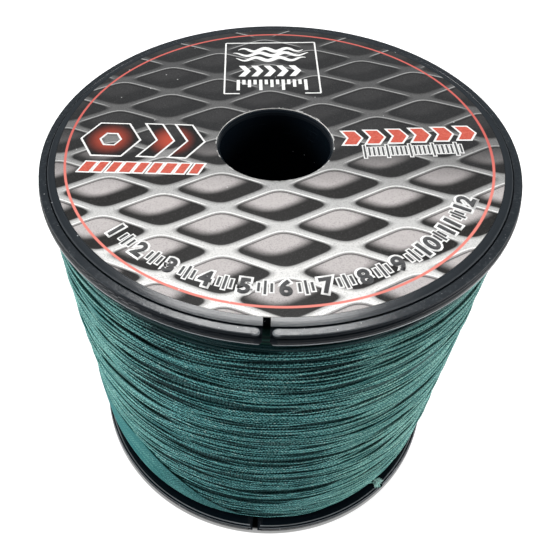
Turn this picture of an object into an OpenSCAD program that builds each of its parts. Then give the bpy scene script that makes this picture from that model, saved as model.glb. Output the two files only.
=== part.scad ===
// Fishing line spool: two moulded halves pressed together, a round label and the wound line.
// The spool stands on its lower rim, with +Z along its axis and the line slit towards -Y.

/* [Spool] */
// Diameter over the lips of both flanges
flange_diameter = 68; // [62:1:110]
// Height from the lower band to the upper band
spool_height = 64.8; // [40:0.1:120]
// Thickness of a flange at its rim, from the band to the inner face
flange_thickness = 2.2; // [2:0.1:4]
// Outside diameter of the barrel that carries the line
barrel_diameter = 55; // [30:1:56]
// Wall of the barrel
barrel_wall = 1.6; // [1.2:0.1:3]
// Diameter of the hole for the spindle
bore_diameter = 16; // [8:0.5:24]
// Wall of the tube round the hole
bore_wall = 1.6; // [1.2:0.1:3]
// Chamfer at both mouths of the hole
bore_chamfer = 0.35; // [0.1:0.05:0.6]

/* [Rim] */
// Width of the raised bead
bead_width = 1.15; // [0.8:0.05:1.6]
// Height of the bead's side, down to the groove
bead_height = 0.5; // [0.4:0.05:0.8]
// How far the bead's top lies below the flat band
bead_drop = 0.35; // [0.1:0.05:0.5]
// How far the bead stands above the ledge that carries it
bead_step = 0.27; // [0.1:0.01:0.4]
// Radius along the bead's edges and round its ends
bead_round = 0.2; // [0.1:0.05:0.4]
// How far the bead's side lies inside the lip
bead_inset = 0.2; // [0.05:0.05:0.5]
// Width of the fine line sunk between the band and the bead
bead_quirk = 0.12; // [0.1:0.01:0.4]
// Width of the groove between the bead and the lip
groove_width = 0.2; // [0.2:0.05:0.5]
// Depth of the groove behind the bead's side
groove_depth = 0.35; // [0.2:0.05:0.6]
// Radius along the lip's edge
lip_round = 0.3; // [0.1:0.05:0.5]
// Width of the band between the label and the fine line
band_width = 1.08; // [0.8:0.01:3]
// Width of the band's flat part, on which the spool stands
band_flat = 0.6; // [0.4:0.05:0.7]
// How far the band falls from its flat part to its outer edge
band_fall = 0.28; // [0.1:0.01:0.4]
// How much smaller the bead's rounded ends are than the bead
knob_relief = 0.02; // [0.01:0.01:0.05]

/* [Line slit] */
// Width of the slit through each rim
slit_width = 0.9; // [0.5:0.05:1.4]
// How far the slit runs in from the lip
slit_length = 3.1; // [2.8:0.1:5]
// Width of the slit's flared mouth at the inner face
mouth_width = 2; // [1.5:0.1:3]
// Depth of the flared mouth
mouth_depth = 0.8; // [0.4:0.05:1.2]
// Room between the slit and each rounded end of the bead
bead_end_gap = 0.2; // [0.1:0.05:0.5]

/* [Line clip] */
// Turn from the line slit to the clip in the lower rim
clip_turn = 45; // [20:1:180]
// Width of the clip's slit
clip_width = 0.5; // [0.4:0.05:0.8]
// How far the clip's slit runs in from the lip
clip_length = 2.2; // [1.6:0.1:3]
// Width of the clip's flared mouth
clip_mouth_width = 1.3; // [1:0.1:2]
// Depth of the clip's flared mouth
clip_mouth_depth = 0.7; // [0.4:0.05:1]

/* [Inside of the halves] */
// Number of ribs between the tube and the barrel in each half
rib_count = 6; // [3:1:12]
// Thickness of a rib
rib_thickness = 1.2; // [0.8:0.1:2]
// How far a rib runs up from the face plate
rib_height = 14; // [4:1:16]
// Length of the plug that joins the halves
plug_length = 4; // [2:0.5:6]
// Room between the plug and its socket
plug_clearance = 0.05; // [0.02:0.01:0.2]

/* [Label] */
// Thickness of the label, and depth of its recess
label_thickness = 0.2; // [0.1:0.05:0.4]
// Room between the label and the edge of its recess
label_clearance = 0.05; // [0.02:0.01:0.3]
// Room between the label and the mouth of the hole
label_hole_clearance = 0.05; // [0.02:0.01:0.5]

/* [Line] */
// Turns in the outer layer
loops = 23.5; // [8:0.5:24]
// Thickness of the outer layer
layer_thickness = 0.9; // [0.6:0.05:1.2]
// Room between one turn and the next
turn_gap = 0.47; // [0.42:0.01:1]
// How far the line lies inside the lip
line_inset = 0.8; // [0.5:0.1:4]
// Room between the line and the upper flange
upper_gap = 0.1; // [0.05:0.05:2]
// Room between the line and the lower flange
lower_gap = 1.3; // [0.5:0.1:3]
// How much the last turns draw in above the lower flange
lower_taper = 0.5; // [0:0.1:1]
// Room between the pack and the barrel, and under the outer layer
pack_clearance = 0.05; // [0.02:0.01:0.2]
// Round edge of the pack
pack_round = 0.6; // [0.2:0.1:1.5]
// Radius of the bend where an end of the outer layer turns into the pack
end_bend = 0.9; // [0.6:0.1:1.5]
// Room round an end of the outer layer where it sinks into the pack
pocket_clearance = 0.25; // [0.1:0.05:0.6]
// Diameter of the line itself, at its loose end
line_diameter = 0.4; // [0.2:0.05:0.6]

/* [Hidden] */
$fn = 96;
flange_radius = flange_diameter / 2;
barrel_radius = barrel_diameter / 2;
barrel_inside = barrel_radius - barrel_wall;
bore_radius = bore_diameter / 2;
bore_outside = bore_radius + bore_wall;
middle = spool_height / 2;
// Radii of the rim, from its edge inwards
bead_outer = flange_radius - bead_inset;
bead_inner = bead_outer - bead_width;
bead_middle = (bead_outer + bead_inner) / 2;
neck_radius = bead_outer - groove_depth;
band_outer = bead_inner - bead_quirk;
recess_radius = band_outer - band_width;
flat_edge = recess_radius + band_flat;
// Heights above the plane of the lower band
recess_floor = label_thickness;
ledge_floor = bead_drop + bead_step;
bead_foot = bead_drop + bead_height;
groove_floor = bead_foot + groove_width;
// Plug and socket split each wall in half
barrel_joint = barrel_inside + barrel_wall / 2;
bore_joint = bore_radius + bore_wall / 2;
slit_angle = -90;
clip_angle = slit_angle + clip_turn;
// The wound line
line_radius = flange_radius - line_inset;
layer_middle = line_radius - layer_thickness / 2;
loop_rings = 24;
sag = layer_middle * (1 - cos(180 / loop_rings));
core_radius = layer_middle - sag - layer_thickness / 2 - pack_clearance;
pack_bottom = flange_thickness + lower_gap;
pack_top = spool_height - flange_thickness - upper_gap;
turn_pitch = (pack_top - pack_bottom + turn_gap) / (loops + 1);
turn_width = turn_pitch - turn_gap;
layer_top = pack_top - turn_width / 2;
layer_bottom = pack_bottom + turn_width / 2;
end_angle = clip_angle - 8;
start_angle = end_angle - 360 * loops;
end_reach = end_bend + layer_thickness;
pocket_radius = turn_width / 2 + pocket_clearance;
taper_height = 2 * turn_pitch;
label_hole = bore_radius + bore_chamfer + label_hole_clearance;
eps = 0.01;

// ---- profiles ----

// A rectangle with its two upper corners round
module round_top(width, height, radius) {
    polygon([
        [0, 0],
        [width, 0],
        [width, height - radius],
        [width - radius, height],
        [radius, height],
        [0, height - radius]
    ]);
    translate([radius, height - radius])
        circle(radius);
    translate([width - radius, height - radius])
        circle(radius);
}

// Half of the face plate with its band, ledge, groove and lip
module plate_profile() {
    polygon([
        [bore_radius, recess_floor],
        [recess_radius, recess_floor],
        [recess_radius, 0],
        [flat_edge, 0],
        [flat_edge + (band_outer - flat_edge) * 0.62, band_fall * 0.36],
        [band_outer, band_fall],
        [band_outer, ledge_floor],
        [neck_radius, ledge_floor],
        [neck_radius, groove_floor],
        [flange_radius - lip_round, groove_floor],
        [flange_radius, groove_floor + lip_round],
        [flange_radius, flange_thickness - lip_round],
        [flange_radius - lip_round, flange_thickness],
        [bore_radius, flange_thickness]
    ]);
    translate([flange_radius - lip_round, groove_floor + lip_round])
        circle(lip_round);
    translate([flange_radius - lip_round, flange_thickness - lip_round])
        circle(lip_round);
}

// ---- the moulded halves ----

// The raised bead: an open ring with half-round ends beside the slit
module bead() {
    end_turn = asin((slit_width / 2 + bead_end_gap + bead_width / 2) / bead_middle);
    translate([0, 0, bead_foot])
        mirror([0, 0, 1]) {
            rotate([0, 0, slit_angle + end_turn])
                rotate_extrude(angle = 360 - 2 * end_turn)
                    translate([bead_inner, 0])
                        round_top(bead_width, bead_height, bead_round);
            for (side = [-1, 1]) {
                rotate([0, 0, slit_angle + side * end_turn])
                    translate([bead_middle, 0, 0])
                        bead_end();
            }
        }
}

// A knob a hair smaller than the bead, so that the two never only touch
module bead_end() {
    knob = bead_width - 2 * knob_relief;
    rotate_extrude()
        intersection() {
            translate([-knob / 2, 0])
                round_top(knob, bead_height - knob_relief, bead_round);
            square([bead_width, bead_height]);
        }
}

// A slit in from the rim, with a mouth that flares at the inner face
module rim_slit(width, length, mouth, depth) {
    inner_end = flange_radius - length + width / 2;
    translate([inner_end, -width / 2, -eps])
        cube([length, width, flange_thickness + 2 * eps]);
    translate([inner_end, 0, -eps])
        cylinder(h = flange_thickness + 2 * eps, d = width);
    translate([flange_radius - length / 2, 0, flange_thickness])
        rotate([90, 0, 90])
            linear_extrude(height = length)
                polygon([
                    [-width / 2, -depth],
                    [width / 2, -depth],
                    [mouth / 2, 0],
                    [mouth / 2, eps],
                    [-mouth / 2, eps],
                    [-mouth / 2, 0]
                ]);
}

module ribs() {
    rib_end = barrel_inside + barrel_wall / 2;
    for (i = [0 : rib_count - 1]) {
        rotate([0, 0, 360 / rib_count * (i + 0.5)])
            translate([bore_radius + bore_wall / 2, -rib_thickness / 2, flange_thickness - eps])
                cube([rib_end - bore_radius - bore_wall / 2, rib_thickness, rib_height]);
    }
}

// What both halves share, standing on the band and open at the middle
module half_shell() {
    difference() {
        union() {
            rotate_extrude()
                plate_profile();
            bead();
            translate([0, 0, recess_floor])
                cylinder(h = middle - recess_floor, r = bore_outside);
            difference() {
                translate([0, 0, recess_floor + eps])
                    cylinder(h = middle - recess_floor - eps, r = barrel_radius);
                translate([0, 0, flange_thickness])
                    cylinder(h = middle, r = barrel_inside);
            }
            ribs();
        }
        translate([0, 0, -eps])
            cylinder(h = middle + 2 * eps, r = bore_radius);
        translate([0, 0, recess_floor - eps])
            cylinder(h = bore_chamfer + eps, r1 = bore_radius + bore_chamfer + eps, r2 = bore_radius);
        rotate([0, 0, slit_angle])
            rim_slit(slit_width, slit_length, mouth_width, mouth_depth);
    }
}

// A ring that stands above the middle and plugs into the other half
module plug(outside, inside) {
    translate([0, 0, middle - eps])
        difference() {
            cylinder(h = plug_length + eps, r = outside - plug_clearance);
            translate([0, 0, -eps])
                cylinder(h = plug_length + 3 * eps, r = inside);
        }
}

module lower_half() {
    color("#2b3134") {
        difference() {
            half_shell();
            rotate([0, 0, clip_angle])
                rim_slit(clip_width, clip_length, clip_mouth_width, clip_mouth_depth);
        }
        plug(barrel_joint, barrel_inside);
        plug(bore_joint, bore_radius);
    }
}

module upper_half() {
    socket_depth = plug_length + plug_clearance;
    color("#2b3134")
        translate([0, 0, spool_height])
            mirror([0, 0, 1])
                difference() {
                    half_shell();
                    translate([0, 0, middle - socket_depth])
                        cylinder(h = socket_depth + eps, r = bore_joint);
                    translate([0, 0, middle - socket_depth])
                        difference() {
                            cylinder(h = socket_depth + eps, r = barrel_joint);
                            translate([0, 0, -eps])
                                cylinder(h = socket_depth + 3 * eps, r = barrel_inside - eps);
                        }
                }
}

// ---- the label ----

module top_label() {
    color("#8c8a88")
        translate([0, 0, spool_height - recess_floor])
            difference() {
                cylinder(h = label_thickness, r = recess_radius - label_clearance);
                translate([0, 0, -eps])
                    cylinder(h = label_thickness + 2 * eps, r = label_hole);
            }
}

// ---- the line ----

// How far the line draws in near the lower flange
function taper(z) = lower_taper * pow(max(0, 1 - (z - layer_bottom) / taper_height), 2);

module pack_end_pocket(angle, z) {
    rotate([0, 0, angle])
        translate([layer_middle - taper(z) - end_reach, 0, z])
            rotate([0, 90, 0])
                cylinder(h = end_reach + layer_thickness, r = pocket_radius);
}

// The layers below, as one ring with round edges
module line_pack() {
    bottom_edge = core_radius - lower_taper;
    inside = barrel_radius + pack_clearance;
    color("#3f7f72")
        difference() {
            rotate_extrude() {
                polygon([
                    [inside, pack_bottom],
                    [bottom_edge - pack_round, pack_bottom],
                    [bottom_edge, pack_bottom + pack_round],
                    [core_radius, pack_bottom + taper_height],
                    [core_radius, pack_top - pack_round],
                    [core_radius - pack_round, pack_top],
                    [inside, pack_top]
                ]);
                translate([bottom_edge - pack_round, pack_bottom + pack_round])
                    circle(pack_round);
                translate([core_radius - pack_round, pack_top - pack_round])
                    circle(pack_round);
            }
            pack_end_pocket(start_angle, layer_top);
            pack_end_pocket(end_angle, layer_bottom);
        }
}

function unit(v) = v / norm(v);
function around(p, angle) = [
    p[0] * cos(angle) - p[1] * sin(angle),
    p[0] * sin(angle) + p[1] * cos(angle),
    p[2]
];

// Points of an end: straight out of the pack, then bent along the turn
end_steps = [0, 30, 60, 90];
function end_point(radius, step, side) = [
    radius - end_bend * (1 - sin(step)),
    side * end_bend * (1 - cos(step)),
    0
];
function end_route(radius, angle, z, side) = [
    around([radius - end_reach, 0, z], angle),
    for (step = end_steps) around(end_point(radius, step, side) + [0, 0, z], angle)
];
function backwards(list) = [for (i = [len(list) - 1 : -1 : 0]) list[i]];

// The whole outer layer, from its upper end to its lower one
bend_turn = atan(end_bend / layer_middle);
turn_steps = round(loops * loop_rings);
function layer_z(t) = layer_top + (layer_bottom - layer_top) * t;
function layer_point(i) =
    let (t = i / turn_steps)
    let (z = layer_z(t))
    let (angle = start_angle + bend_turn + (360 * loops - 2 * bend_turn) * t)
    around([layer_middle - taper(z), 0, z], angle);
layer_route = concat(
    end_route(layer_middle, start_angle, layer_top, 1),
    [for (i = [1 : turn_steps - 1]) layer_point(i)],
    backwards(end_route(layer_middle - taper(layer_bottom), end_angle, layer_bottom, -1))
);

// Six corners of a turn's section: across the axis it is wide, along the radius thin
layer_section = [
    [1, 0],
    [0.62, 1],
    [-0.62, 1],
    [-1, 0],
    [-0.62, -1],
    [0.62, -1]
];

function heading(route, i) = unit(route[min(i + 1, len(route) - 1)] - route[max(i - 1, 0)]);
function ribbon_ring(route, i) =
    let (ahead = heading(route, i))
    let (wide = unit([0, 0, 1] - ahead[2] * ahead))
    let (thick = cross(wide, ahead))
    [for (c = layer_section) route[i] + wide * c[0] * turn_width / 2 + thick * c[1] * layer_thickness / 2];

layer_rings = [for (i = [0 : len(layer_route) - 1]) ribbon_ring(layer_route, i)];

// A tube through rings of corners, closed at both ends
module skin(rings) {
    sides = len(rings[0]);
    last = len(rings) - 1;
    points = [for (ring = rings) each ring];
    walls = [
        for (i = [0 : last - 1])
            for (k = [0 : sides - 1])
                let (a = i * sides + k)
                let (b = i * sides + (k + 1) % sides)
                each [[a, b, b + sides], [a, b + sides, a + sides]]
    ];
    caps = [
        for (k = [1 : sides - 2])
            each [[0, k + 1, k], [last * sides, last * sides + k, last * sides + k + 1]]
    ];
    polyhedron(points = points, faces = concat(walls, caps), convexity = 10);
}

// Least distance between each turn and the next one
least_gap = min([
    for (i = [0 : len(layer_rings) - loop_rings - 3])
        for (j = [i + loop_rings - 2 : min(i + loop_rings + 2, len(layer_rings) - 1)])
            for (p = layer_rings[i])
                for (q = layer_rings[j])
                    norm(p - q)
]);
echo(least_gap_between_turns = least_gap);

module line_outer_layer() {
    color("#4f9484")
        skin(layer_rings);
}

// Route of the loose end: in from the lip, along the rim, above the flange's inner face
end_offsets = [
    [3.1, -3, lower_gap],
    [3.1, -3, lower_gap - line_diameter],
    [3.05, -2.85, 0.28],
    [2.8, -2.5, 0.24],
    [2.4, -1.9, 0.24],
    [2, -1.3, 0.24],
    [1.6, -0.7, 0.23],
    [1.2, -0.2, 0.12],
    [0.8, 0, -0.1],
    [0.45, 0, -0.3],
    [0.2, 0, -0.45]
];
loose_route = [
    for (p = end_offsets) around([flange_radius - p[0], p[1], flange_thickness + p[2]], clip_angle)
];
loose_sides = 8;

// A reference direction carried along the route without twist
function carried(route, i) =
    i == 0 ? around([1, 0, 0], clip_angle) :
    let (before = carried(route, i - 1))
    let (ahead = heading(route, i))
    unit(before - (before * ahead) * ahead);
function cord_ring(route, i, radius, sides) =
    let (ahead = heading(route, i))
    let (side = carried(route, i))
    let (up = cross(side, ahead))
    [for (k = [0 : sides - 1]) route[i] + radius * (side * cos(360 * k / sides) + up * sin(360 * k / sides))];

module line_end() {
    color("#7fb8a8")
        skin([
            for (i = [0 : len(loose_route) - 1]) cord_ring(loose_route, i, line_diameter / 2, loose_sides)
        ]);
}

upper_half();
lower_half();
top_label();
line_pack();
line_outer_layer();
line_end();
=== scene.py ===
import math
from functools import partialmethod
from types import SimpleNamespace

import bmesh
import bpy
from mathutils import Matrix, Vector
from mathutils.geometry import tessellate_polygon


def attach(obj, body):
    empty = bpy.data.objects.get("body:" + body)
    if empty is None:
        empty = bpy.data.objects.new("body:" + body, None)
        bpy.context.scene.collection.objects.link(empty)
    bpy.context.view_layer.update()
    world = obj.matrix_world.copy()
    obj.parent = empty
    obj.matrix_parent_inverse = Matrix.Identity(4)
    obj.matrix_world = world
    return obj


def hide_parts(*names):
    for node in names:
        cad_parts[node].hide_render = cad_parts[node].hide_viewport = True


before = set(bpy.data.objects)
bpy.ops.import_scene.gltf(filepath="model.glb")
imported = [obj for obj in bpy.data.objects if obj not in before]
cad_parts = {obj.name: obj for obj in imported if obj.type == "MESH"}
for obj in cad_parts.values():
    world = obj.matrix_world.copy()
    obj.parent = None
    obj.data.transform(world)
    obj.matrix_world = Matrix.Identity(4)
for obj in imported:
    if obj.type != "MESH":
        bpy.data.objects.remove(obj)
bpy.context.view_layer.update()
print("spool: frame loaded")

mm = 0.001
tau = 2 * math.pi
topFace = 64.8  # height of the upper face's band, mm


class Wire:
    # one socket of a node tree, so that a sum of sockets reads as a sum
    def __init__(self, tree, socket):
        self.tree, self.socket = tree, socket

    def at(self, name):
        return Wire(self.tree, self.socket.node.outputs[name])

    def calc(self, operation, *others):
        return self.tree.node("ShaderNodeMath", {"operation": operation}, (self,) + others)

    def __rsub__(self, other):
        return (self * -1) + other

    atLeast, atMost = partialmethod(calc, "MAXIMUM"), partialmethod(calc, "MINIMUM")
    __add__ = __radd__ = partialmethod(calc, "ADD")
    __mul__ = __rmul__ = partialmethod(calc, "MULTIPLY")
    __sub__ = partialmethod(calc, "SUBTRACT")
    __truediv__ = partialmethod(calc, "DIVIDE")
    __pow__ = partialmethod(calc, "POWER")
    __abs__ = partialmethod(calc, "ABSOLUTE")


class Tree:
    def __init__(self, nodeTree):
        self.nodes, self.links = nodeTree.nodes, nodeTree.links

    def node(self, kind, settings=None, sockets=None, out=0):
        made = self.nodes.new(kind)
        for name, value in (settings or {}).items():
            if name == "stops":
                ramp = made.color_ramp
                ramp.elements.remove(ramp.elements[-1])
                for spot, (place, tint) in enumerate(value):
                    stop = ramp.elements[0] if spot == 0 else ramp.elements.new(place)
                    stop.position, stop.color = place, (*tint, 1)
            else:
                setattr(made, name, value)
        pairs = sockets.items() if isinstance(sockets, dict) else enumerate(sockets or ())
        for name, value in pairs:
            target = made.inputs[name]
            if isinstance(value, Wire):
                self.links.new(value.socket, target)
            elif target.type == "RGBA" and len(value) == 3:
                target.default_value = (*value, 1)
            else:
                target.default_value = value
        return Wire(self, made.outputs[out]) if made.outputs else made

    def vector(self, x, y, z):
        return self.node("ShaderNodeCombineXYZ", {}, (x, y, z))

    def split(self, vector):
        parts = self.node("ShaderNodeSeparateXYZ", {}, (vector,))
        return parts.at("X"), parts.at("Y"), parts.at("Z")

    def scaled(self, vector, size):
        return self.node("ShaderNodeVectorMath", {"operation": "SCALE"}, {0: vector, "Scale": size})

    def noise(self, place, scale=1.0, detail=2.0, roughness=0.5):
        return self.node("ShaderNodeTexNoise", {}, {
            "Vector": place, "Scale": scale, "Detail": detail, "Roughness": roughness})

    def rise(self, value, low, high):
        # 0 below low, 1 above high, smooth between; turned round where low is the larger
        smooth = {"interpolation_type": "SMOOTHSTEP"}
        return self.node("ShaderNodeMapRange", smooth, {0: value, 1: low, 2: high})

    def stripe(self, value, middle, half, soft):
        return self.rise(abs(value - middle), half + soft, half)

    def tint(self, below, above, share):
        return self.node("ShaderNodeMix", {"data_type": "RGBA"}, {0: share, 6: below, 7: above}, 2)

    def spots(self, place, scale, size, share):
        # a few round specks, one in some of the cells of a loose grid
        cells = self.node("ShaderNodeTexVoronoi", {}, {"Vector": place, "Scale": scale}, "Distance")
        pick = self.node("ShaderNodeSeparateColor", {}, (cells.at("Color"),))
        return self.rise(cells, size, size * 0.5) * self.rise(pick, 1 - share, 1 - share + 0.01)


def emptyTree(owner):
    owner.use_nodes = True
    owner.node_tree.nodes.clear()
    return Tree(owner.node_tree)


def finishTree(name):
    # a new material, its tree, and the place on the piece in mm
    material = bpy.data.materials.new(name)
    tree = emptyTree(material)
    return material, tree, tree.scaled(tree.node("ShaderNodeTexCoord", {}, {}, "Object"), 1 / mm)


def principled(tree, **sockets):
    named = {name.replace("_", " "): value for name, value in sockets.items()}
    return tree.node("ShaderNodeBsdfPrincipled", {}, named)


def surface(tree, shader):
    tree.node("ShaderNodeOutputMaterial", {}, (shader,))


def paint(tree, **sockets):
    surface(tree, principled(tree, **sockets))


def bump(tree, height, depth):
    return tree.node("ShaderNodeBump", {}, {"Height": height, "Distance": depth * mm, "Strength": 1.0})


def polar(tree, inMm):
    # place to the east, to the north, up, and away from the axis
    east, north, height = tree.split(inMm)
    return east, north, height, (east * east + north * north).calc("SQRT")


plastic = {
    "colour": (0.0025, 0.0045, 0.007),
    "wornAndLit": (0.03, 0.036, 0.042),
    "edgeHighlight": (0.42, 0.45, 0.48),
    "dustColour": (0.4, 0.42, 0.43),
    "roughness": 0.19,
    "dullWalls": 0.5,  # added to the roughness of the ledge and the groove
    "pitDepth": 0.02,  # mm
    "bandSoft": 15.5,  # how far the shading evens out the band's fall
    "edgeSoft": 60.0,  # the corner of the band
    "crestSoft": 75.0,  # and the bead's shoulders
    "wallGloss": 0.08,
    "faceGloss": 0.24,
    "dust": 0.16,  # share of the loose grid that holds a fleck
}

rim = {  # mm from the axis, or under the nearer face where it says depth
    "bandFall": 32.05,
    "bandCorner": 32.348,
    "beadInner": 32.62,
    "beadMiddle": 33.225,
    "beadEnd": 1.225,  # from the slit's middle
    "lipInner": 33.7,
    "lipBack": 33.4,
    "lipEdge": 33.86,
    "lipDepth": 1.83,
    "bandDepth": 0.34,
    "beadDepth": 0.56,
}


def spoolPlastic():
    material, tree, inMm = finishTree("spoolPlastic")
    east, north, height, away = polar(tree, inMm)
    rise, stripe = tree.rise, tree.stripe
    below = height.atMost(topFace - height)  # depth under the nearer face
    # distance from the bead's middle line, which ends a little way from the slit
    fromSlit = abs(east) + rise(north, -1.0, 1.0) * 50
    pastEnd, aside = (rim["beadEnd"] - fromSlit).atLeast(0.0), away - rim["beadMiddle"]
    offBead = (pastEnd ** 2 + aside * aside).calc("SQRT")
    onBead = rim["beadDepth"]
    beadTop = rise(offBead, 0.56, 0.5) * rise(below, onBead, 0.48)
    pits = tree.noise(inMm, 2.6, 3.0, 0.6)
    grain = tree.noise(inMm, 9.0, 2.0, 0.6)
    # fine rubbing marks that run along the rim
    along = tree.vector((away + height) * 4.5, east * 0.22, north * 0.22)
    rubbed = tree.noise(along, 1.0, 3.0, 0.65)
    cloud = tree.noise(inMm, 0.22, 2.0)
    flecks = tree.spots(inMm, 0.62, 0.085, plastic["dust"])
    specks = tree.spots(inMm, 1.9, 0.14, 0.3) * beadTop
    bandAndBeadTop = rise(below, rim["bandDepth"], 0.3).atLeast(rise(offBead, 0.55, 0.49) * rise(below, 0.6, 0.55))
    # rubbing marks, plus painted light that makes the bead's top and the band paler
    wearAndTopLight = rise(pits, 0.52, 0.72) * beadTop * 0.6 + rise(rubbed, 0.58, 0.8) * 0.35 + bandAndBeadTop * 0.5
    colour = tree.tint(plastic["colour"], plastic["wornAndLit"], wearAndTopLight.atMost(1.0))
    # painted highlight lines along the edges of the lips, uneven along the rim
    upper = rise(height, 20.0, 40.0)
    lipSide = stripe(below, rim["lipDepth"], 0.05, 0.07) * rise(away, rim["lipInner"], 33.82) * upper
    lipBack = stripe(away, rim["lipBack"], 0.05, 0.08) * rise(below, 2.08, 2.16) * 0.7
    lipEdge = stripe(away, rim["lipEdge"], 0.04, 0.07) * rise(below, 1.9, 1.96) * (1 - upper) * 0.3
    uneven = 0.75 + (rubbed - 0.5) * 1.4
    edgeHighlights = (lipSide * 0.75 + lipBack * 0.7 + lipEdge) * uneven
    colour = tree.tint(colour, plastic["edgeHighlight"], edgeHighlights)
    # painted highlight on the corner of the band and on the bead's shoulders
    corner = rise(away, 32.3, 32.45) * rise(away, rim["beadInner"], 32.54) * rise(below, 0.36, 0.26)
    shoulder = stripe(offBead, 0.48, 0.05, 0.08) * rise(below, onBead, 0.5)
    corners = corner * 0.08 + shoulder * rise(fromSlit, 1.8, 1.3) * 0.2
    colour = tree.tint(colour, plastic["edgeHighlight"], corners)
    colour = tree.tint(colour, plastic["dustColour"], (flecks * 0.75).atLeast(specks * 0.45))
    rough = plastic["roughness"] + (cloud - 0.5) * 0.08 + (rubbed - 0.5) * 0.12
    rough = rough + beadTop * (pits - 0.5) * 0.25
    walls = rise(below, 0.48, onBead) * rise(below, 1.05, 0.95).atLeast(rise(fromSlit, 1.5, 1.2))
    rough = rough + walls * plastic["dullWalls"]
    # both the band's fall and the bead's shoulders are smoother than their facets
    soft = (away - rim["bandFall"]).atLeast(0.0).atMost(0.3) * plastic["bandSoft"]
    soft = soft + (away - rim["bandCorner"]).atLeast(0.0).atMost(0.19) * plastic["edgeSoft"]
    crest = (offBead.atMost(0.53) - 0.375).atLeast(0.0) ** 2 * plastic["crestSoft"]
    lean = soft * rise(below, 1.2, 0.9) + crest * rise(below, 1.0, 0.86) * rise(away, 32.56, rim["beadInner"])
    relief = pits * (0.2 + beadTop * 0.5) + grain * 0.15 + rubbed * 0.2 + flecks * 0.8 + lean
    leaning = bump(tree, relief, plastic["pitDepth"])
    # the faces that threads and hands slide over are polished, the walls are duller
    dull, polished = (
        principled(
            tree, Base_Color=colour, Roughness=rough, Normal=leaning, Specular_IOR_Level=plastic[gloss])
        for gloss in ("wallGloss", "faceGloss"))
    surface(tree, tree.node("ShaderNodeMixShader", {}, (bandAndBeadTop, dull, polished)))
    return material


label = {
    "radius": 34.0,  # the pattern's own unit, mm
    "cellCentre": (0.0315, -0.3904),
    "cellUp": (0.2152, 0.1363),  # from a cell to the next one up and right
    "cellDown": (0.2358, -0.0893),  # and to the next one down and right
    "hole": 0.426,  # half a hole, as a share of a cell
    "ringRadius": 0.8825,
    "ringWidth": 0.0092,
    "red": (0.5, 0.11, 0.095),
    "redFront": (0.66, 0.2, 0.165),
    "bars": [  # colour of the mesh from the back to the front, paler towards the front partly by the print and partly by painted reflection
        (0.0, (0.042, 0.042, 0.042)), (0.18, (0.076, 0.077, 0.078)), (0.42, (0.112, 0.112, 0.112)),
        (0.54, (0.2, 0.2, 0.197)), (0.7, (0.42, 0.42, 0.415)), (0.85, (0.6, 0.597, 0.585)),
        (1.0, (0.74, 0.735, 0.72))],
    "edgeLine": ((0.36, 0.36, 0.357), (0.86, 0.855, 0.84)),  # at the back and at the front
    "shade": ((0.024, 0.0245, 0.0255), (0.02, 0.0195, 0.019)),  # in the holes
    "lit": ((0.036, 0.036, 0.037), (0.44, 0.412, 0.406)),
    "chipped": 8.6,  # radius of the worn edge round the bore, mm
    "roughness": 0.36,
    "gloss": 0.05,
}


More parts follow.
